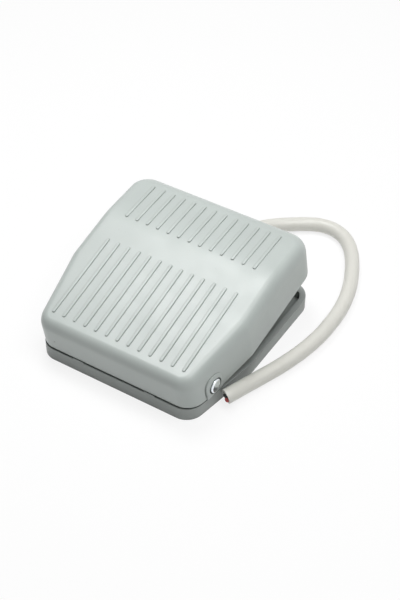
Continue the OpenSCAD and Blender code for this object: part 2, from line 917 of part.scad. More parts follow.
module cord_relief() {
    inner_d = cord_d + 0.02;
    tip_d = cord_d + 1.6;
    neck_d = relief_d - 2 * relief_groove - 0.02;
    start_y = rear_y - rear_rim_t;
    color("#9a978c")
        translate([0, start_y, cord_z])
            rotate([-90, 0, 0])
                difference() {
                    union() {
                        translate([0, 0, -relief_tail])
                            cylinder(d = neck_d, h = rear_rim_t + relief_tail + 1);
                        cylinder(d = relief_d - 0.02, h = relief_flange);
                        translate([0, 0, rear_rim_t])
                            cylinder(d1 = relief_d, d2 = tip_d, h = relief_l);
                    }
                    translate([0, 0, -relief_tail - 1])
                        cylinder(d = inner_d, h = relief_l + far);
                }
}

module cord_clamp() {
    length = clamp_pitch + clamp_post_d;
    color("#4a4f50")
        difference() {
            translate([-length / 2, clamp_y - clamp_l / 2, cord_z])
                cube([length, clamp_l, cord_d / 2 + clamp_t]);
            translate([0, clamp_y - clamp_l, cord_z])
                rotate([-90, 0, 0])
                    cylinder(d = cord_d + 2 * clamp_play, h = 2 * clamp_l);
            for (side = [-1, 1])
                translate([side * clamp_pitch / 2, clamp_y, 0])
                    cylinder(d = screw_d, h = far);
        }
}

module clamp_screws() {
    top = cord_z + cord_d / 2 + clamp_t;
    color("#b8bdc2")
        for (side = [-1, 1])
            translate([side * clamp_pitch / 2, clamp_y, 0]) {
                translate([0, 0, floor_t + 0.6])
                    cylinder(d = screw_d - 0.5, h = top - floor_t - 0.6);
                difference() {
                    translate([0, 0, top])
                        cylinder(d = head_d, h = head_t);
                    translate([-head_d / 2, -0.4, top + head_t / 2])
                        cube([head_d, 0.8, head_t]);
                }
            }
}

module cord() {
    color("#c9c6bc")
        tube(cord_line, cord_d, cord_sides);
}

// The three cores, where the cord is cut off
module cord_core_ends() {
    stub = 0.8;
    last = len(cord_line) - 1;
    end = cord_line[last];
    ahead = heading(cord_line, last);
    turn = atan2(ahead[1], ahead[0]);
    tip_up = asin(ahead[2]);
    color("#7a3030")
        translate(end + 0.02 * ahead)
            rotate([0, 90 - tip_up, turn])
                for (k = [0:2])
                    rotate([0, 0, 120 * k + 30])
                        translate([core_d * 0.62, 0, 0])
                            cylinder(d = core_d, h = stub, $fn = 24);
}

module lead_black() {
    color("#1d1d1f")
        tube(lead_route(-1, -core_x, core_z, nc_exit_z + tab_t / 2), core_d, lead_sides);
}

module lead_red() {
    color("#b5322c")
        tube(lead_route(1, core_x, core_z, com_z + tab_t / 2), core_d, lead_sides);
}

module lead_white() {
    color("#e6e4dc")
        tube(lead_route(1, core_x / 2, low_core_z, no_z + tab_t / 2), core_d, lead_sides);
}

base_tray();
pedal_cover();
pivot_shaft();
shaft_clips();
switch_case();
switch_lid();
switch_plunger();
contact_blade();
moving_contact();
terminal_nc();
terminal_com();
terminal_no();
fixed_contacts();
switch_screws();
switch_nuts();
tab_connectors();
return_spring();
cord_relief();
cord_clamp();
clamp_screws();
cord();
cord_core_ends();
lead_black();
lead_red();
lead_white();
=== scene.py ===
import json
import math

import bmesh
import bpy
import numpy as np
from mathutils import Matrix, Vector

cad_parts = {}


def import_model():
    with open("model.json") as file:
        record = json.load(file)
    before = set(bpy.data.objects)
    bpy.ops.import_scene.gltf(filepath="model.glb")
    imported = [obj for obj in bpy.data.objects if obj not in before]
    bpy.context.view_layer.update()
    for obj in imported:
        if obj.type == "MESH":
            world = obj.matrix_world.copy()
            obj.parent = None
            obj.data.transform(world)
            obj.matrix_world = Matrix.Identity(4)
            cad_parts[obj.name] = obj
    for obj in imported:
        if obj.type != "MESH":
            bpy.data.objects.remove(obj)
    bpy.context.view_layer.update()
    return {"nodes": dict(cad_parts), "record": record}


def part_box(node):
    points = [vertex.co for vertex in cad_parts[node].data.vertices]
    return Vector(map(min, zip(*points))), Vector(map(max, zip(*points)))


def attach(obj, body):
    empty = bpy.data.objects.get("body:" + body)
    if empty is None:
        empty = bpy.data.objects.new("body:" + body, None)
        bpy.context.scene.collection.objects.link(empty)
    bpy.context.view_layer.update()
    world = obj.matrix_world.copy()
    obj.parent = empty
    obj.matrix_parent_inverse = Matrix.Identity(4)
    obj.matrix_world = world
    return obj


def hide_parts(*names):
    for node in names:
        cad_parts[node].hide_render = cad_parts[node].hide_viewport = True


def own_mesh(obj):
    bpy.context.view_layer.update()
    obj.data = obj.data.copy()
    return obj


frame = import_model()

# Sizes in millimetres, in the part's own frame: +Z up, +Y to the cord end, +X along the shaft.
MM = 0.001
TRAY_L, TRAY_W, FRONT_W = 85.6, 82.5, 70.6
TAPER_L = 34.5
RIM_H = 5.7
FRONT_R, REAR_R, KINK_R = 7.5, 9.0, 9.0
FRONT_Y, REAR_Y = -TRAY_L / 2, TRAY_L / 2
HALF_FRONT, HALF_REAR = FRONT_W / 2, TRAY_W / 2
TAPER = math.atan((HALF_REAR - HALF_FRONT) / TAPER_L)

# Pedal cover, drawn with the pedal down and then turned to rest
RIDGE_Z, RIDGE_Y, RIDGE_BLEND = 27.6, 15.5, 4.0
FRONT_SLOPE, REAR_SLOPE = math.radians(3.7), math.radians(6.5)
WALL_T, TOP_T, INNER_R = 2.2, 2.4, 4.3
# Rounding of the top edge, across and down, at the front, the sides and the rear
EDGE_ACROSS, EDGE_DOWN = (3.4, 4.4, 5.4), (5.2, 6.5, 6.5)
OVERHANG, DRAFT = 0.4, 0.4
SKIRT_Z = RIM_H - 4
COVER_LOW, FRONT_LOW = RIM_H + 0.7, RIM_H + 0.5
LIP_R = 0.35
RIB_N, RIB_PITCH, RIB_W, RIB_H = 13, 5.0, 1.4, 0.52
LONG_RIB, SHORT_RIB = (-37.0, 2.6), (15.2, 36.1)

# Pivot
PIVOT_Y, PIVOT_Z = -29.4, 10.9
REST = math.radians(10.5)
SHAFT_D, SHAFT_END = 6.0, 38.72
# Flat arched boss round each shaft end: radius, how far it stands out of the wall at its front leg,
# where it runs out into the wall, and its centre along and up the wall, pedal down
HOLE_D, BOSS_R, BOSS_OUT, BOSS_FADE = 6.9, 4.6, 0.4, 2.0
BOSS_Y, BOSS_Z = -0.4, 1.7
GROOVE_W, GROOVE_T = 0.34, 0.28
# Tabs on the tray's front rim that the pedal rests on
STOP_W, STOP_X, STOP_TOP = 4.8, 16.7, RIM_H + 0.44

# Spring, strain relief and cord
WIRE_D, SPRING_TURNS, SPRING_H = 1.4, 6, 27.0
CORD_D, CORE_D, CORD_Z, JACKET_T = 6.2, 2.0, 6.6, 0.85
RELIEF_L, RELIEF_D, REAR_RIM = 13.0, 9.4, 4.5
# Direction that the slanting cut at the cord's free end faces, and how far past the route's end it lies
CUT_NORMAL, CUT_PAST = (-0.50, -0.85, -0.18), 1.3
# The cord's centre line from the clamp to its cut end; y counts from the tray's rear edge
CORD_ROUTE = [
    (0, -12.8, 6.6), (0, -6.5, 6.6), (0, 0.2, 6.6), (0, 6.7, 6.6), (0, 13.2, 6.6), (0.7, 19.3, 5.9),
    (2.8, 24.9, 5), (6.4, 29.9, 4.1), (11, 34.3, 3.5), (16.4, 38.4, 3.2), (22.2, 41.3, 3.15),
    (28.4, 41.9, 3.15), (34.4, 39.9, 3.15), (39.3, 36, 3.15), (43.4, 30.7, 3.15), (46.7, 24.8, 3.15),
    (49.4, 19, 3.15), (51.8, 13, 3.15), (53.6, 6.7, 3.15), (54.8, 0.6, 3.15), (55.5, -5.8, 3.15),
    (55.6, -12.8, 3.15), (55.4, -19.5, 3.15), (54.6, -25.8, 3.15), (53.4, -32.2, 3.15), (51.8, -38.4, 3.15),
    (49.8, -44.9, 3.15), (47.5, -51.1, 3.15), (45.3, -57.1, 3.3), (43.4, -63, 3.8), (41.9, -69, 4.7),
]


# ---------- materials ----------

def node_of(tree, kind, **inputs):
    """A new shader node with some of its inputs set."""
    node = tree.nodes.new(kind)
    for name, value in inputs.items():
        node.inputs[name.replace("_", " ")].default_value = value
    return node


def grey(value):
    return (value, value, value, 1.0)


def mixed(tree, factor, first, second):
    """Colour mix of two colours or sockets by a factor socket."""
    mix = tree.nodes.new("ShaderNodeMix")
    mix.data_type = "RGBA"
    tree.links.new(factor, mix.inputs["Factor"])
    for socket, value in ((mix.inputs["A"], first), (mix.inputs["B"], second)):
        if isinstance(value, bpy.types.NodeSocket):
            tree.links.new(value, socket)
        else:
            socket.default_value = value
    return mix.outputs["Result"]


def ramp(tree, factor, low, high, out_low=0.0, out_high=1.0):
    """Factor mapped from low..high to out_low..out_high."""
    node = tree.nodes.new("ShaderNodeMapRange")
    for name, value in (("From Min", low), ("From Max", high), ("To Min", out_low), ("To Max", out_high)):
        node.inputs[name].default_value = value
    tree.links.new(factor, node.inputs["Value"])
    return node.outputs["Result"]


def noise(tree, where, scale, detail=3.0, roughness=0.5):
    node = node_of(tree, "ShaderNodeTexNoise", Scale=scale, Detail=detail, Roughness=roughness)
    tree.links.new(where, node.inputs["Vector"])
    return node.outputs["Fac"]


def bumped(tree, height, strength, distance, normal=None):
    node = node_of(tree, "ShaderNodeBump", Strength=strength, Distance=distance)
    tree.links.new(height, node.inputs["Height"])
    if normal:
        tree.links.new(normal, node.inputs["Normal"])
    return node.outputs["Normal"]


def spot(tree, where, centre, inner, outer):
    """1 inside a ball of radius inner about centre (millimetres), falling to 0 at outer."""
    node = tree.nodes.new("ShaderNodeVectorMath")
    node.operation = "DISTANCE"
    tree.links.new(where, node.inputs[0])
    node.inputs[1].default_value = [c * MM for c in centre]
    return ramp(tree, node.outputs["Value"], inner * MM, outer * MM, 1.0, 0.0)


def material(name, **sockets):
    """A new material: its tree, Principled shader and object coordinates."""
    made = bpy.data.materials.new(name)
    made.use_nodes = True
    tree = made.node_tree
    shader = tree.nodes["Principled BSDF"]
    for key, value in sockets.items():
        shader.inputs[key.replace("_", " ")].default_value = value
    where = tree.nodes.new("ShaderNodeTexCoord").outputs["Object"]
    return made, tree, shader, where


def moulded(name, colour, deep, roughness, grain=0.12, marks=(), specular=0.5):
    """Moulded plastic: a fine spark-eroded grain, slow colour drift, faint dust specks and painted shade in
    creases, both in the deep colour.
    """
    made, tree, shader, where = material(name, Specular_IOR_Level=specular)
    drift = ramp(tree, noise(tree, where, 38, 4), 0.35, 0.65)
    base = mixed(tree, drift, colour, [c * 0.955 for c in colour[:3]] + [1])
    speck = ramp(tree, noise(tree, where, 900, 2), 0.70, 0.78, 0.0, 0.10)
    base = mixed(tree, speck, base, deep)
    # Painted shade: ambient occlusion mixes the deep colour into creases, recesses and the feet of the ribs.
    painted_crease_shade = tree.nodes.new("ShaderNodeAmbientOcclusion")
    painted_crease_shade.inputs["Distance"].default_value = 0.9 * MM
    painted_crease_shade.samples = 8
    base = mixed(tree, ramp(tree, painted_crease_shade.outputs["AO"], 0.35, 0.92, 0.8, 0.0), base, deep)
    for centre, inner, outer, tint, share in marks:
        base = mixed(tree, ramp(tree, spot(tree, where, centre, inner, outer), 0, 1, 0, share), base, tint)
    tree.links.new(base, shader.inputs["Base Color"])
    fine = noise(tree, where, 2600, 2, 0.6)
    tree.links.new(ramp(tree, noise(tree, where, 120, 4), 0.3, 0.7, roughness - 0.05, roughness + 0.06),
                   shader.inputs["Roughness"])
    normal = bumped(tree, fine, grain, 0.06 * MM)
    normal = bumped(tree, noise(tree, where, 55, 2), 0.05, 0.25 * MM, normal)
    tree.links.new(normal, shader.inputs["Normal"])
    return made


def metal(name, colour, roughness, streak=(1, 60, 60), tint=(0.62, 0.60, 0.52, 1)):
    """Plated or drawn metal: fine turning streaks, cloudy plating and dulled patches."""
    made, tree, shader, where = material(name, Metallic=1.0)
    stretch = node_of(tree, "ShaderNodeMapping")
    stretch.inputs["Scale"].default_value = streak
    tree.links.new(where, stretch.inputs["Vector"])
    lines = noise(tree, stretch.outputs["Vector"], 160, 3)
    cloud = ramp(tree, noise(tree, where, 240, 4), 0.45, 0.75, 0, 0.35)
    tree.links.new(mixed(tree, cloud, colour, tint), shader.inputs["Base Color"])
    rough = ramp(tree, lines, 0.3, 0.7, roughness - 0.06, roughness + 0.10)
    tree.links.new(rough, shader.inputs["Roughness"])
    tree.links.new(bumped(tree, lines, 0.10, 0.03 * MM), shader.inputs["Normal"])
    return made


def jacket(name, colour, deep, roughness=0.42):
    """Extruded soft plastic: lengthwise drift, handling dirt and a slightly wavy skin."""
    made, tree, shader, where = material(name, Specular_IOR_Level=0.45)
    dirt = ramp(tree, noise(tree, where, 160, 5, 0.6), 0.52, 0.80, 0, 0.22)
    drift = ramp(tree, noise(tree, where, 22, 2), 0.3, 0.7)
    base = mixed(tree, drift, colour, [c * 0.96 for c in colour[:3]] + [1])
    tree.links.new(mixed(tree, dirt, base, deep), shader.inputs["Base Color"])
    tree.links.new(ramp(tree, noise(tree, where, 300, 3), 0.3, 0.7, roughness - 0.04, roughness + 0.08),
                   shader.inputs["Roughness"])
    normal = bumped(tree, noise(tree, where, 1500, 2), 0.08, 0.05 * MM)
    tree.links.new(bumped(tree, noise(tree, where, 90, 2), 0.08, 0.2 * MM, normal), shader.inputs["Normal"])
    return made


COVER_TOP = (0.48, 0.525, 0.505, 1)
TRAY_GREY = (0.34, 0.365, 0.352, 1)
# In each moulded look the second colour gives the faint dust specks and the painted shade in creases.
LOOKS = {
    "cover_plastic": moulded("cover_plastic", COVER_TOP, (0.12, 0.14, 0.125, 1), 0.34, 0.14, marks=(
        ((-27.4, FRONT_Y, 11.2), 0.30, 0.62, (0.055, 0.06, 0.055, 1), 0.85),
    )),
    "tray_plastic": moulded("tray_plastic", TRAY_GREY, (0.07, 0.085, 0.08, 1), 0.46, 0.15),
    "zinc_steel": metal("zinc_steel", (0.84, 0.89, 0.92, 1), 0.22, tint=(0.66, 0.67, 0.64, 1)),
    "spring_steel": metal("spring_steel", (0.10, 0.10, 0.11, 1), 0.36, tint=(0.16, 0.12, 0.09, 1)),
    "spring_wire": metal("spring_wire", (0.52, 0.54, 0.57, 1), 0.28, tint=(0.35, 0.31, 0.27, 1)),
    "silver_contact": metal("silver_contact", (0.85, 0.84, 0.82, 1), 0.20),
    "brass": metal("brass", (0.74, 0.60, 0.30, 1), 0.26, tint=(0.50, 0.37, 0.20, 1)),
    "copper_alloy": metal("copper_alloy", (0.72, 0.43, 0.25, 1), 0.28, tint=(0.45, 0.25, 0.16, 1)),
    "black_moulding": moulded("black_moulding", (0.030, 0.031, 0.034, 1), (0.012, 0.012, 0.012, 1), 0.48),
    "dark_moulding": moulded("dark_moulding", (0.060, 0.066, 0.070, 1), (0.02, 0.02, 0.02, 1), 0.50),
    "red_plastic": moulded("red_plastic", (0.42, 0.045, 0.03, 1), (0.12, 0.02, 0.015, 1), 0.38),
    "grey_rubber": jacket("grey_rubber", (0.36, 0.355, 0.325, 1), (0.16, 0.15, 0.13, 1), 0.60),
    "cord_jacket": jacket("cord_jacket", (0.70, 0.695, 0.645, 1), (0.48, 0.46, 0.40, 1), 0.34),
    "core_black": jacket("core_black", (0.012, 0.012, 0.013, 1), (0.03, 0.03, 0.03, 1), 0.40),
    "core_red": jacket("core_red", (0.62, 0.075, 0.07, 1), (0.35, 0.04, 0.04, 1), 0.40),
    "core_white": jacket("core_white", (0.72, 0.71, 0.67, 1), (0.4, 0.38, 0.33, 1), 0.40),
}


# ---------- pieces ----------

def finish_piece(obj, body, slot, replaced=(), sharp=35):
    """Shades a piece smooth up to the given angle, gives it the slot's material, ties it to its body and hides
    the CAD nodes it stands in for.
    """
    mesh = obj.data
    mesh.shade_smooth()
    mesh.set_sharp_from_angle(angle=math.radians(sharp))
    mesh.materials.clear()
    mesh.materials.append(LOOKS[slot])
    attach(obj, body)
    if replaced:
        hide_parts(*replaced)
    return obj


def new_object(name, points, faces):
    """A mesh object from points in millimetres."""
    mesh = bpy.data.meshes.new(name)
    mesh.from_pydata([[c * MM for c in p] for p in points], [], [list(f) for f in faces])
    obj = bpy.data.objects.new(name, mesh)
    bpy.context.scene.collection.objects.link(obj)
    work = bmesh.new()
    work.from_mesh(mesh)
    bmesh.ops.recalc_face_normals(work, faces=work.faces)
    work.to_mesh(mesh)
    work.free()
    return obj


def applied(obj):
    """Applies every modifier of obj."""
    bpy.context.view_layer.update()
    made = bpy.data.meshes.new_from_object(obj.evaluated_get(bpy.context.evaluated_depsgraph_get()))
    obj.modifiers.clear()
    obj.data = made
    return obj


def weighted(obj):
    """Face-weighted normals, so that flat faces stay flat beside rounded edges."""
    modifier = obj.modifiers.new("normals", "WEIGHTED_NORMAL")
    modifier.keep_sharp = True
    return obj


def cut(obj, tools):
    """Cuts the tools out of obj and removes them."""
    for tool in tools:
        modifier = obj.modifiers.new("cut", "BOOLEAN")
        modifier.operation = "DIFFERENCE"
        modifier.solver = "EXACT"
        modifier.object = tool
        applied(obj)
        bpy.data.objects.remove(tool)
    return obj


def joined(obj, others):
    """Joins other mesh objects into obj."""
    work = bmesh.new()
    for o in (obj, *others):
        start = len(work.verts)
        work.from_mesh(o.data)
        work.verts.ensure_lookup_table()
        bmesh.ops.transform(work, matrix=o.matrix_world, verts=work.verts[start:])
    work.to_mesh(obj.data)
    work.free()
    obj.matrix_world = Matrix.Identity(4)
    for o in others:
        bpy.data.objects.remove(o)
    return obj


def body_of(node):
    return next(b for b, members in frame["record"]["behaviour"]["bodies"].items() if node in members)


def dressed(node, slot, width=0.2, segments=2, name=None):
    """A copy of a CAD node with its edges rounded."""
    source = frame["nodes"][node]
    obj = bpy.data.objects.new(name or node + "_piece", source.data.copy())
    bpy.context.scene.collection.objects.link(obj)
    work = bmesh.new()
    work.from_mesh(obj.data)
    bmesh.ops.remove_doubles(work, verts=work.verts, dist=2e-6)
    bmesh.ops.dissolve_limit(work, angle_limit=math.radians(0.6), verts=work.verts, edges=work.edges)
    work.to_mesh(obj.data)
    work.free()
    modifier = obj.modifiers.new("edges", "BEVEL")
    modifier.width = width * MM
    modifier.segments = segments
    modifier.limit_method = "ANGLE"
    modifier.angle_limit = math.radians(35)
    modifier.use_clamp_overlap = True
    applied(obj)
    finish_piece(obj, body_of(node), slot, (node,))
    return weighted(obj)


def full_turn(sides):
    """Angles of the corners of a ring with so many sides."""
    return np.linspace(0, 2 * math.pi, sides, endpoint=False)


def rod(name, centre, axis, radius, length, sides=48):
    """Plain cutter cylinder, from centre along axis."""
    axis = Vector(axis).normalized()
    turn = axis.to_track_quat("Z", "Y").to_matrix()
    ring = [(radius * math.cos(a), radius * math.sin(a)) for a in full_turn(sides)]
    points = [Vector(centre) + turn @ Vector((x, y, z)) for z in (0, length) for x, y in ring]
    faces = [(i, (i + 1) % sides, sides + (i + 1) % sides, sides + i) for i in range(sides)]
    return new_object(name, points, [*faces, range(sides - 1, -1, -1), range(sides, 2 * sides)])


def prism(name, outline, thickness, matrix):
    """Prism of an outline in local XY, thickness along local Z, placed by a matrix."""
    n = len(outline)
    points = [matrix @ Vector((x, y, z)) for z in (0, thickness) for x, y in outline]
    faces = [(i, (i + 1) % n, n + (i + 1) % n, n + i) for i in range(n)]
    return new_object(name, points, [*faces, range(n - 1, -1, -1), range(n, 2 * n)])


def arch_outline(radius, below, steps=32):
    """Half circle over straight legs that run below its centre."""
    arc = [(radius * math.cos(a), radius * math.sin(a)) for a in np.linspace(0, math.pi, steps)]
    return [(radius, -below), *arc, (-radius, -below)]


def to_rest(points):
    """Turns points from pedal down to rest, about the shaft."""
    p = np.asarray(points, float).copy()
    y, z = p[..., 1] - PIVOT_Y, p[..., 2] - PIVOT_Z
    p[..., 1] = PIVOT_Y + y * math.cos(REST) - z * math.sin(REST)
    p[..., 2] = PIVOT_Z + y * math.sin(REST) + z * math.cos(REST)
    return p


def top_z(y):
    """Height of the pedal's top along the length, pedal down: two planes with a soft ridge."""
    rise, fall = math.tan(FRONT_SLOPE), -math.tan(REAR_SLOPE)
    y = np.asarray(y, float)
    bend = np.clip(y - RIDGE_Y + RIDGE_BLEND, 0, 2 * RIDGE_BLEND)
    curved = (fall - rise) * bend ** 2 / (4 * RIDGE_BLEND)
    past = np.clip(y - RIDGE_Y - RIDGE_BLEND, 0, None) * (fall - rise)
    return RIDGE_Z + rise * (y - RIDGE_Y) + curved + past


def outline_columns():
    """Right half of the plan outline, front to back: points and outward normals."""
    front_c = (HALF_FRONT - FRONT_R * (1 - math.sin(TAPER)) / math.cos(TAPER), FRONT_Y + FRONT_R)
    kink_c = (HALF_REAR - KINK_R, FRONT_Y + TAPER_L + KINK_R * math.tan(TAPER / 2))
    rear_c = (HALF_REAR - REAR_R, REAR_Y - REAR_R)
    columns = []

    def arc(centre, radius, start, end, steps):
        for a in np.radians(np.linspace(start, end, steps + 1)):
            normal = np.array([math.cos(a), math.sin(a)])
            columns.append((np.array(centre) + radius * normal, normal))

    def line(end, normal, steps):
        begin = columns[-1][0]
        for i in range(1, steps):
            columns.append((begin + (np.array(end) - begin) * i / steps, np.array(normal)))

    for x in np.linspace(0, front_c[0], 7)[:-1]:
        columns.append((np.array([x, FRONT_Y]), np.array([0.0, -1.0])))
    arc(front_c, FRONT_R, -90, -math.degrees(TAPER), 20)
    normal = (math.cos(TAPER), -math.sin(TAPER))
    line(np.array(kink_c) + KINK_R * np.array(normal), normal, 12)
    arc(kink_c, KINK_R, -math.degrees(TAPER), 0, 8)
    for s in np.linspace(-1, 1, 9):
        columns.append((np.array([HALF_REAR, RIDGE_Y + s * RIDGE_BLEND]), np.array([1.0, 0.0])))
    line(np.array([HALF_REAR, rear_c[1]]), (1, 0), 6)
    arc(rear_c, REAR_R, 0, 90, 24)
    for x in np.linspace(rear_c[0], 0, 7)[1:]:
        columns.append((np.array([x, REAR_Y]), np.array([0.0, 1.0])))
    return columns


COLUMNS = outline_columns()
# Outer face of the side wall at the shaft, and height of the pedal's lower edge at rest
WALL_X = HALF_FRONT + (PIVOT_Y - FRONT_Y) * math.tan(TAPER) + OVERHANG / math.cos(TAPER)
COVER_FLOOR = FRONT_LOW


def cut_z(y):
    """Height of the cover's lower edge, pedal down."""
    level = PIVOT_Z + (FRONT_LOW - PIVOT_Z - (y - PIVOT_Y) * math.sin(REST)) / math.cos(REST)
    return max(COVER_LOW, level)


def blended(values, normal):
    """Value between the front's, the sides' and the rear's, by the way a wall faces."""
    front, side, rear = max(-normal[1], 0) ** 2, normal[0] ** 2, max(normal[1], 0) ** 2
    return values[0] * front + values[1] * side + values[2] * rear


def wall_ring(inset, down, lift, deeper):
    """Ring on a leaning wall face, at a height above the lower edge, moved deeper into the wall."""
    ring = []
    for p, n in COLUMNS:
        high = float(top_z(p[1] - inset * n[1])) - blended(down, n)
        z = cut_z(p[1]) + lift
        lean = DRAFT * (z - SKIRT_Z) / (high - SKIRT_Z)
        q = p - (inset - OVERHANG + lean + deeper) * n
        ring.append((q[0], q[1], z))
    return ring


def edge_ring(inset, across, down, thick, angle):
    """Ring on the rounded top edge."""
    ring = []
    for p, n in COLUMNS:
        q = p - (inset - OVERHANG + DRAFT + blended(across, n) * (1 - math.cos(angle))) * n
        ring.append((q[0], q[1], float(top_z(q[1])) - thick - blended(down, n) * (1 - math.sin(angle))))
    return ring


def cover_shell():
    """The hollow cover, as rings from the inner top over the lower lip to the outer top."""
    steps = 14
    quarter = np.linspace(0, math.pi / 2, steps + 1)
    inner = (INNER_R, INNER_R, INNER_R)
    inner_down = (TOP_T + INNER_R,) * 3
    rings = [edge_ring(WALL_T, inner, inner, TOP_T, a) for a in quarter[::-1]]
    lip = np.linspace(0, math.pi / 2, 4)
    for a in lip:
        rings.append(wall_ring(WALL_T, inner_down, LIP_R * (1 - math.sin(a)), -LIP_R * (1 - math.cos(a))))
    for a in lip[::-1]:
        rings.append(wall_ring(0, EDGE_DOWN, LIP_R * (1 - math.sin(a)), LIP_R * (1 - math.cos(a))))
    rings += [edge_ring(0, EDGE_ACROSS, EDGE_DOWN, 0, a) for a in quarter]
    columns = len(COLUMNS)
    points, faces = [], []
    for ring in rings:
        points += [(x, y, z) for x, y, z in ring]
        points += [(-x, y, z) for x, y, z in ring[-2:0:-1]]
    n = 2 * columns - 2
    for k in range(len(rings) - 1):
        for i in range(n):
            j = (i + 1) % n
            faces.append((k * n + i, k * n + j, (k + 1) * n + j, (k + 1) * n + i))
    for base, flip in ((0, True), ((len(rings) - 1) * n, False)):
        for i in range(columns - 1):
            a, b = base + i, base + i + 1
            c, d = base + (n - i - 1) % n, base + (n - i) % n
            face = [a, b] + ([] if i == columns - 2 else [c]) + ([] if i == 0 else [d])
            faces.append(face[::-1] if flip else face)
    return to_rest(points), faces


def rib_bead(x, y0, y1):
    """A raised bead with rounded ends, sunk a little into the pedal's top."""
    across = np.sin(np.linspace(-math.pi / 2, math.pi / 2, 13))
    half = RIB_W / 2
    ends = np.sin(np.linspace(0, math.pi / 2, 6)[1:])
    along = [y0 + half * (1 - e) for e in ends[::-1]]
    spread = [math.sqrt(max(0, 1 - e * e)) for e in ends[::-1]]
    stations = list(zip(along, spread)) + [(y1 - (y - y0), s) for y, s in list(zip(along, spread))[::-1]]
    points, faces = [], []
    for y, s in stations:
        base = float(top_z(y))
        wide = half * max(s, 0.02)
        for u in across:
            lift = RIB_H * (1 - abs(u) ** 5) ** 0.5 * (s ** 0.3 if s < 1 else 1)
            points.append((x + u * wide, y, base + lift - 0.03))
        points.append((x + wide, y, base - 0.3))
        points.append((x - wide, y, base - 0.3))
    n = len(across) + 2
    for k in range(len(stations) - 1):
        for i in range(n):
            j = (i + 1) % n
            faces.append((k * n + i, k * n + j, (k + 1) * n + j, (k + 1) * n + i))
    faces += [tuple(range(n)), tuple(range(len(stations) * n - 1, (len(stations) - 1) * n - 1, -1))]
    return to_rest(points), faces


def side_prism(name, side, radius, stand, reach):
    """Arched prism on a side wall, standing out of it at its front leg and level with it at BOSS_FADE.

    A negative stand gives a cutter, whose floor lies that far below the wall and which reaches outward.
    """
    front = BOSS_Y - radius
    lean = math.tan(TAPER) - stand / (BOSS_FADE - front)
    low = COVER_FLOOR + (0.12 if stand > 0 else -1.0)
    outline = []
    for leg in (1, -1):
        y = BOSS_Y + leg * radius
        z = (low - PIVOT_Z - y * math.sin(REST)) / math.cos(REST)
        if stand > 0:
            z = max(z, COVER_LOW + 0.12 - PIVOT_Z)
        outline.append((y, z))
    arc = np.linspace(0, math.pi, 33)
    arch = [(BOSS_Y + radius * math.cos(a), BOSS_Z + radius * math.sin(a)) for a in arc]
    outline = [outline[0], *arch, outline[1]]
    points = []
    for depth in ((0, -reach) if stand > 0 else (0, reach)):
        for y0, z0 in outline:
            y = y0 * math.cos(REST) - z0 * math.sin(REST)
            z = y0 * math.sin(REST) + z0 * math.cos(REST)
            x = WALL_X + lean * y + stand * BOSS_FADE / (BOSS_FADE - front) + depth
            points.append((side * x, PIVOT_Y + y, PIVOT_Z + z))
    n = len(outline)
    faces = [(i, (i + 1) % n, n + (i + 1) % n, n + i) for i in range(n)]
    return new_object(name, points, [*faces, range(n - 1, -1, -1), range(n, 2 * n)])


def pedal_cover():
    obj = new_object("pedal_cover_shell", *cover_shell())
    grooves, tools = [], []
    for name, side in (("shaft_boss_right", 1), ("shaft_boss_left", -1)):
        grooves.append(side_prism("groove", side, BOSS_R + GROOVE_W, -GROOVE_T, 6.0))
        plug = side_prism(name, side, BOSS_R, BOSS_OUT, 1.2)
        bevel = plug.modifiers.new("edges", "BEVEL")
        bevel.width = 0.12 * MM
        bevel.segments = 2
        bevel.limit_method = "ANGLE"
        bevel.angle_limit = math.radians(40)
        start = (side * (WALL_X - 5), PIVOT_Y, PIVOT_Z)
        bores = [rod("hole", start, (side, 0, 0), HOLE_D / 2, 10) for _ in (0, 1)]
        cut(applied(plug), bores[:1])
        finish_piece(plug, "pedal", "cover_plastic", sharp=38)
        tools.append(bores[1])
    cut(obj, grooves)
    notch = [(x, z) for x, z in arch_outline(RELIEF_D / 2 + 3.5, CORD_Z)]
    placed = to_rest([(x, REAR_Y + y, CORD_Z + z) for y in (-4, 4) for x, z in notch])
    n = len(notch)
    faces = [(i, (i + 1) % n, n + (i + 1) % n, n + i) for i in range(n)]
    tools.append(new_object("notch", placed, [*faces, range(n - 1, -1, -1), range(n, 2 * n)]))
    cut(obj, tools)
    finish_piece(obj, "pedal", "cover_plastic", ("pedal_cover",), sharp=38)
    weighted(obj)
    beads = []
    for i in range(RIB_N):
        x = (i - (RIB_N - 1) / 2) * RIB_PITCH
        beads.append(new_object(f"rib_long_{i + 1:02d}", *rib_bead(x, *LONG_RIB)))
        beads.append(new_object(f"rib_short_{i + 1:02d}", *rib_bead(x, *SHORT_RIB)))
    ribs = joined(new_object("pedal_ribs", [], []), beads)
    finish_piece(ribs, "pedal", "cover_plastic", sharp=60)


def frame_at(route, i):
    """Direction of a route at its i-th point, and two directions square to it."""
    ahead = np.subtract(route[min(i + 1, len(route) - 1)], route[max(i - 1, 0)])
    ahead = ahead / np.linalg.norm(ahead)
    across = np.cross(ahead, [0, 0, 1])
    across /= np.linalg.norm(across)
    return ahead, across, np.cross(across, ahead)


def ring_at(centre, across, up, radius, sides):
    turn = np.linspace(0, 2 * math.pi, sides, endpoint=False)
    return [np.array(centre) + radius * (math.cos(a) * across + math.sin(a) * up) for a in turn]


def skin(name, rings, closed_start=True, closed_end=True):
    """Surface through rings of equally many points."""
    n = len(rings[0])
    faces = []
    for k in range(len(rings) - 1):
        for i in range(n):
            j = (i + 1) % n
            faces.append((k * n + i, k * n + j, (k + 1) * n + j, (k + 1) * n + i))
    if closed_start:
        faces.append(range(n))
    if closed_end:
        faces.append(range(len(rings) * n - 1, (len(rings) - 1) * n - 1, -1))
    return new_object(name, [p for ring in rings for p in ring], faces)


def tube(name, route, diameter, sides=28):
    """Round tube along a list of points."""
    rings = []
    for i, centre in enumerate(route):
        ahead, across, up = frame_at(route, i)
        rings.append(ring_at(centre, across, up, diameter / 2, sides))
    return skin(name, rings)


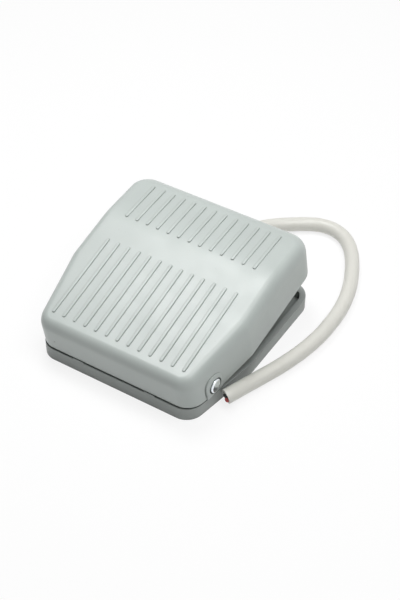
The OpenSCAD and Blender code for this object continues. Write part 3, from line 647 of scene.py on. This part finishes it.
def smooth_route(points, step):
    """Points on a smooth curve through the given ones (centripetal Catmull-Rom), about step apart."""
    p = [np.array(q, float) for q in points]
    p = [2 * p[0] - p[1], *p, 2 * p[-1] - p[-2]]
    made = []
    for a, b, c, d in zip(p, p[1:], p[2:], p[3:]):
        t = np.cumsum([0, *[math.sqrt(np.linalg.norm(v)) for v in (b - a, c - b, d - c)]])
        count = max(1, round(float(np.linalg.norm(c - b)) / step))
        for u in np.linspace(t[1], t[2], count, endpoint=False):
            first = []
            for i, (q, r) in enumerate(((a, b), (b, c), (c, d))):
                first.append(((t[i + 1] - u) * q + (u - t[i]) * r) / (t[i + 1] - t[i]))
            second = []
            for i in (0, 1):
                second.append(((t[i + 2] - u) * first[i] + (u - t[i]) * first[i + 1]) / (t[i + 2] - t[i]))
            made.append(((t[2] - u) * second[0] + (u - t[1]) * second[1]) / (t[2] - t[1]))
    made.append(p[-2])
    return made


def turned(profile, centre, axis, sides=48):
    """Points and side faces of a turned piece, from a profile of (distance along the axis, radius)."""
    axis = Vector(axis).normalized()
    turn = axis.to_track_quat("Z", "Y").to_matrix()
    points, faces = [], []
    for along, radius in profile:
        for a in full_turn(sides):
            spoke = Vector((radius * math.cos(a), radius * math.sin(a), along))
            points.append(Vector(centre) + turn @ spoke)
    for k in range(len(profile) - 1):
        for i in range(sides):
            j = (i + 1) % sides
            faces.append((k * sides + i, k * sides + j, (k + 1) * sides + j, (k + 1) * sides + i))
    return points, faces, sides


def closed_lathe(name, profile, centre, axis, sides=48):
    """A turned ring whose profile closes on itself."""
    points, faces, sides = turned([*profile, profile[0]], centre, axis, sides)
    obj = new_object(name, points, faces)
    work = bmesh.new()
    work.from_mesh(obj.data)
    bmesh.ops.remove_doubles(work, verts=work.verts, dist=1e-7)
    bmesh.ops.recalc_face_normals(work, faces=work.faces)
    work.to_mesh(obj.data)
    work.free()
    return obj


def solid_lathe(name, profile, centre, axis, sides=48):
    """A turned solid, closed with flat ends."""
    points, faces, sides = turned(profile, centre, axis, sides)
    last = (len(profile) - 1) * sides
    return new_object(name, points, [*faces, range(sides), range(last + sides - 1, last - 1, -1)])


def pivot_shaft():
    half, r = SHAFT_END, SHAFT_D / 2
    end = [(half - 0.55, r), (half - 0.42, r - 0.03), (half - 0.2, r - 0.16), (half - 0.06, r - 0.36),
           (half, r - 0.6)]
    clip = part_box("shaft_clips")[1][0] / MM
    groove = [(clip - 1.0, r), (clip - 0.95, r - 0.7), (clip + 0.05, r - 0.7), (clip + 0.1, r)]
    right = [(0, r), *groove, *end]
    profile = [(-a, b) for a, b in right[:0:-1]] + right
    obj = solid_lathe("pivot_shaft_turned", profile, (0, PIVOT_Y, PIVOT_Z), (1, 0, 0), 64)
    finish_piece(obj, "base", "zinc_steel", ("pivot_shaft",), sharp=30)
    weighted(obj)


def return_spring():
    low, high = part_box("return_spring")
    centre = (low + high) / 2 / MM
    radius = (high[0] - low[0]) / 2 / MM - WIRE_D / 2
    base = low[2] / MM
    turns = SPRING_TURNS + 2
    per_turn = 40
    route = []
    for i in range(turns * per_turn + 1):
        t = i / per_turn
        active = SPRING_H - 3 * WIRE_D
        if t < 1:
            z = WIRE_D / 2 + WIRE_D * t
        elif t > SPRING_TURNS + 1:
            z = SPRING_H - WIRE_D / 2 - WIRE_D * (turns - t)
        else:
            z = 1.5 * WIRE_D + active * (t - 1) / SPRING_TURNS
        a = 2 * math.pi * t
        route.append((centre[0] + radius * math.cos(a), centre[1] + radius * math.sin(a), base + z))
    obj = tube("return_spring_wire", route, WIRE_D, 14)
    finish_piece(obj, "base", "spring_wire", ("return_spring",), sharp=60)
    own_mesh(obj)


def cord_relief():
    """The moulded strain relief, with ring grooves round its tapering sleeve."""
    r = CORD_D / 2
    wide = RELIEF_D / 2
    start = REAR_Y - REAR_RIM
    neck = wide - 1.2
    grooves = 5
    profile = [(-2.5, r + 0.02), (-2.5, neck - 0.3), (-2.2, neck), (0, neck), (0, wide - 0.1),
               (1.6, wide - 0.1), (1.6, neck), (REAR_RIM, neck), (REAR_RIM, wide - 0.5),
               (REAR_RIM + 0.4, wide)]
    tip = r + 0.8
    for i in range(grooves):
        a = REAR_RIM + 1.6 + i * (RELIEF_L - 2.6) / grooves
        b = REAR_RIM + 1.6 + (i + 1) * (RELIEF_L - 2.6) / grooves
        ra = wide + (tip - wide) * (a - REAR_RIM) / RELIEF_L
        rb = wide + (tip - wide) * (b - REAR_RIM) / RELIEF_L
        profile += [(a, ra), (a + 0.15, ra - 0.25), (a + 0.35, ra - 0.4), (a + 0.8, ra - 0.4)]
        profile += [(a + 1.0, ra - 0.25), (a + 1.15, ra - 0.02), ((a + 1.15 + b) / 2, (ra + rb) / 2)]
    total = REAR_RIM + RELIEF_L
    profile += [(total - 0.5, tip), (total - 0.15, tip - 0.1), (total, tip - 0.35), (total, r + 0.02)]
    obj = closed_lathe("cord_relief_moulded", profile, (0, start, CORD_Z), (0, 1, 0), 56)
    finish_piece(obj, "base", "grey_rubber", ("cord_relief",), sharp=40)


def cord():
    """The jacket, its hollow slanting end with three cores, and the stub inside the tray."""
    line = [(x, y + REAR_Y, z) for x, y, z in CORD_ROUTE]
    route = smooth_route(line[2:], 2.2)
    route[0] = np.array([0, REAR_Y, CORD_Z])
    end, sides, r = route[-1], 36, CORD_D / 2
    body = [q for q in route if np.linalg.norm(q - end) > 2.6]
    rings = []
    for i, centre in enumerate(body):
        ahead, across, up = frame_at(route, i)
        rings.append(ring_at(centre, across, up, r, sides))
    ahead, across, up = frame_at(route, len(route) - 1)
    slant = np.array(CUT_NORMAL)

    def on_cut(radius, a, along):
        q = end + radius * (math.cos(a) * across + math.sin(a) * up)
        return q + (CUT_PAST + along - slant @ (q - end) / (slant @ ahead)) * ahead

    bore = r - JACKET_T
    lip = [(-0.2, r), (-0.08, r - 0.05), (0.0, r - 0.2), (0.0, bore + 0.15), (-0.1, bore), (-3.5, bore)]
    for along, radius in lip:
        rings.append([on_cut(radius, a, along) for a in full_turn(sides)])
    outer = skin("cord_jacket", rings)
    finish_piece(outer, "base", "cord_jacket", ("cord",), sharp=50)
    stub = tube("cord_inner", [line[0], line[1], (0, REAR_Y, CORD_Z)], CORD_D, 36)
    finish_piece(stub, "base", "cord_jacket", sharp=50)
    for slot, angle, reach in (("core_red", -139, 0.5), ("core_black", 101, 0.45), ("core_white", -19, -0.1)):
        a = math.radians(angle)
        centre = on_cut(CORE_D * 0.60, a, 0)
        core_r = CORE_D / 2
        profile = [(-2.4, core_r), (reach - 0.1, core_r), (reach, core_r - 0.12)]
        profile += [(reach, 0.45), (reach + 0.06, 0.40), (reach + 0.06, 0.05)]
        core = solid_lathe(f"cord_core_{slot[5:]}", profile, centre, ahead, 24)
        finish_piece(core, "base", slot, ("cord_core_ends",) if slot == "core_red" else (), sharp=40)


def leads():
    """The three leads inside the tray, rebuilt as smooth tubes along the CAD tubes' rings."""
    for node, slot in (("lead_black", "core_black"), ("lead_red", "core_red"), ("lead_white", "core_white")):
        mesh = frame["nodes"][node].data
        obj = bpy.data.objects.new(node + "_round", mesh.copy())
        bpy.context.scene.collection.objects.link(obj)
        work = bmesh.new()
        work.from_mesh(obj.data)
        bmesh.ops.remove_doubles(work, verts=work.verts, dist=1e-6)
        work.to_mesh(obj.data)
        work.free()
        finish_piece(obj, "base", slot, (node,), sharp=60)


def rest_stops():
    """The two tabs on the tray's front rim."""
    for name, side in (("rest_stop_left", -1), ("rest_stop_right", 1)):
        place = Matrix.Translation((side * STOP_X, FRONT_Y + 0.02, RIM_H - 0.6))
        half, deep = STOP_W / 2, 2.4
        outline = [(-half, 0), (half, 0), (half, deep), (-half, deep)]
        obj = prism(name, outline, STOP_TOP - RIM_H + 0.6, place)
        bevel = obj.modifiers.new("edges", "BEVEL")
        bevel.width = 0.08 * MM
        bevel.segments = 2
        finish_piece(applied(obj), "base", "tray_plastic")


pedal_cover()
rest_stops()
pivot_shaft()
return_spring()
cord_relief()
cord()
leads()
DRESSED = {
    "base_tray": ("tray_plastic", 0.35, 3), "shaft_clips": ("spring_steel", 0.12, 2),
    "switch_case": ("black_moulding", 0.2, 2), "switch_lid": ("dark_moulding", 0.2, 2),
    "switch_plunger": ("red_plastic", 0.12, 2), "contact_blade": ("copper_alloy", 0.05, 1),
    "moving_contact": ("silver_contact", 0.12, 2), "fixed_contacts": ("silver_contact", 0.12, 2),
    "terminal_nc": ("brass", 0.1, 2), "terminal_com": ("brass", 0.1, 2), "terminal_no": ("brass", 0.1, 2),
    "switch_screws": ("zinc_steel", 0.15, 2), "switch_nuts": ("zinc_steel", 0.2, 2),
    "tab_connectors": ("brass", 0.1, 2), "cord_clamp": ("dark_moulding", 0.3, 2),
    "clamp_screws": ("zinc_steel", 0.15, 2),
}
for node, (slot, width, segments) in DRESSED.items():
    dressed(node, slot, width, segments)


# ---------- stage, light and camera ----------

# Share of plain white in what is seen of the floor
WHITE_SHARE = 0.80


def seen_rays(tree):
    """1 for the rays by which the camera, gloss and glass see the backdrop, and 0 for the rest."""
    path = tree.nodes.new("ShaderNodeLightPath")
    seen = path.outputs["Is Camera Ray"]
    for ray in ("Is Glossy Ray", "Is Transmission Ray"):
        either = node_of(tree, "ShaderNodeMath")
        either.operation = "MAXIMUM"
        tree.links.new(seen, either.inputs[0])
        tree.links.new(path.outputs[ray], either.inputs[1])
        seen = either.outputs["Value"]
    return seen


def floor():
    """The pale floor. What the camera, gloss and glass see of it is mostly white, so it keeps the shadow."""
    mesh = bpy.data.meshes.new("floor")
    half = 4.0
    corners = [(-half, -half, 0), (half, -half, 0), (half, half, 0), (-half, half, 0)]
    mesh.from_pydata(corners, [], [(0, 1, 2, 3)])
    obj = bpy.data.objects.new("floor", mesh)
    bpy.context.scene.collection.objects.link(obj)
    made, tree, shader, where = material("floor_white", Base_Color=grey(0.92), Roughness=0.9)
    out = next(n for n in tree.nodes if n.type == "OUTPUT_MATERIAL")
    glow = node_of(tree, "ShaderNodeEmission", Color=grey(1.0), Strength=1.0)
    share = node_of(tree, "ShaderNodeMath")
    share.operation = "MULTIPLY"
    share.inputs[1].default_value = WHITE_SHARE
    tree.links.new(seen_rays(tree), share.inputs[0])
    blend = tree.nodes.new("ShaderNodeMixShader")
    tree.links.new(share.outputs["Value"], blend.inputs["Fac"])
    tree.links.new(shader.outputs["BSDF"], blend.inputs[1])
    tree.links.new(glow.outputs["Emission"], blend.inputs[2])
    tree.links.new(blend.outputs["Shader"], out.inputs["Surface"])
    mesh.materials.append(made)


def outward(azimuth, elevation):
    """Direction away from the object at an azimuth (0 in front, 90 to the right) and elevation, in degrees."""
    a, e = math.radians(azimuth), math.radians(elevation)
    return Vector((math.sin(a) * math.cos(e), -math.cos(a) * math.cos(e), math.sin(e)))


def area_light(name, azimuth, elevation, distance, size, watts, aim=(0, 0, 0.015)):
    """Soft box that shines on the aim from one side; lengths are in metres."""
    away = outward(azimuth, elevation)
    data = bpy.data.lights.new(name, "AREA")
    data.shape = "RECTANGLE"
    data.size, data.size_y = size
    data.energy = watts
    lamp = bpy.data.objects.new(name, data)
    bpy.context.scene.collection.objects.link(lamp)
    lamp.location = Vector(aim) + away * distance
    lamp.rotation_mode = "QUATERNION"
    lamp.rotation_quaternion = away.to_track_quat("Z", "Y")


def world(strength):
    """Faint light from all round, behind a white backdrop."""
    made = bpy.data.worlds.new("studio")
    bpy.context.scene.world = made
    made.use_nodes = True
    tree = made.node_tree
    backdrop = tree.nodes["Background"]
    backdrop.inputs["Color"].default_value = (1, 1, 1, 1)
    power = node_of(tree, "ShaderNodeMath")
    power.operation = "MAXIMUM"
    power.inputs[1].default_value = strength
    tree.links.new(seen_rays(tree), power.inputs[0])
    tree.links.new(power.outputs["Value"], backdrop.inputs["Strength"])


def camera():
    """The photo's camera, in metres and degrees; the lens and sensor are in millimetres."""
    data = bpy.data.cameras.new("camera")
    data.sensor_width = 36.0
    data.lens = 76.274
    data.clip_start, data.clip_end = 0.01, 20
    obj = bpy.data.objects.new("camera", data)
    bpy.context.scene.collection.objects.link(obj)
    obj.location = (0.20904, -0.31148, 0.36122)
    obj.rotation_mode = "QUATERNION"
    obj.rotation_quaternion = outward(32.2335, 42.8778).to_track_quat("Z", "Y")
    bpy.context.scene.camera = obj


floor()
area_light("key", 233, 69, 0.51, (0.2, 0.2), 1.2)
area_light("overhead", 0, 90, 1.1, (0.6, 0.6), 3.3)
area_light("right_overhead", 90, 66, 1.1, (0.7, 0.7), 6.2)
world(0.02)
camera()
bpy.context.scene.view_settings.view_transform = "Standard"
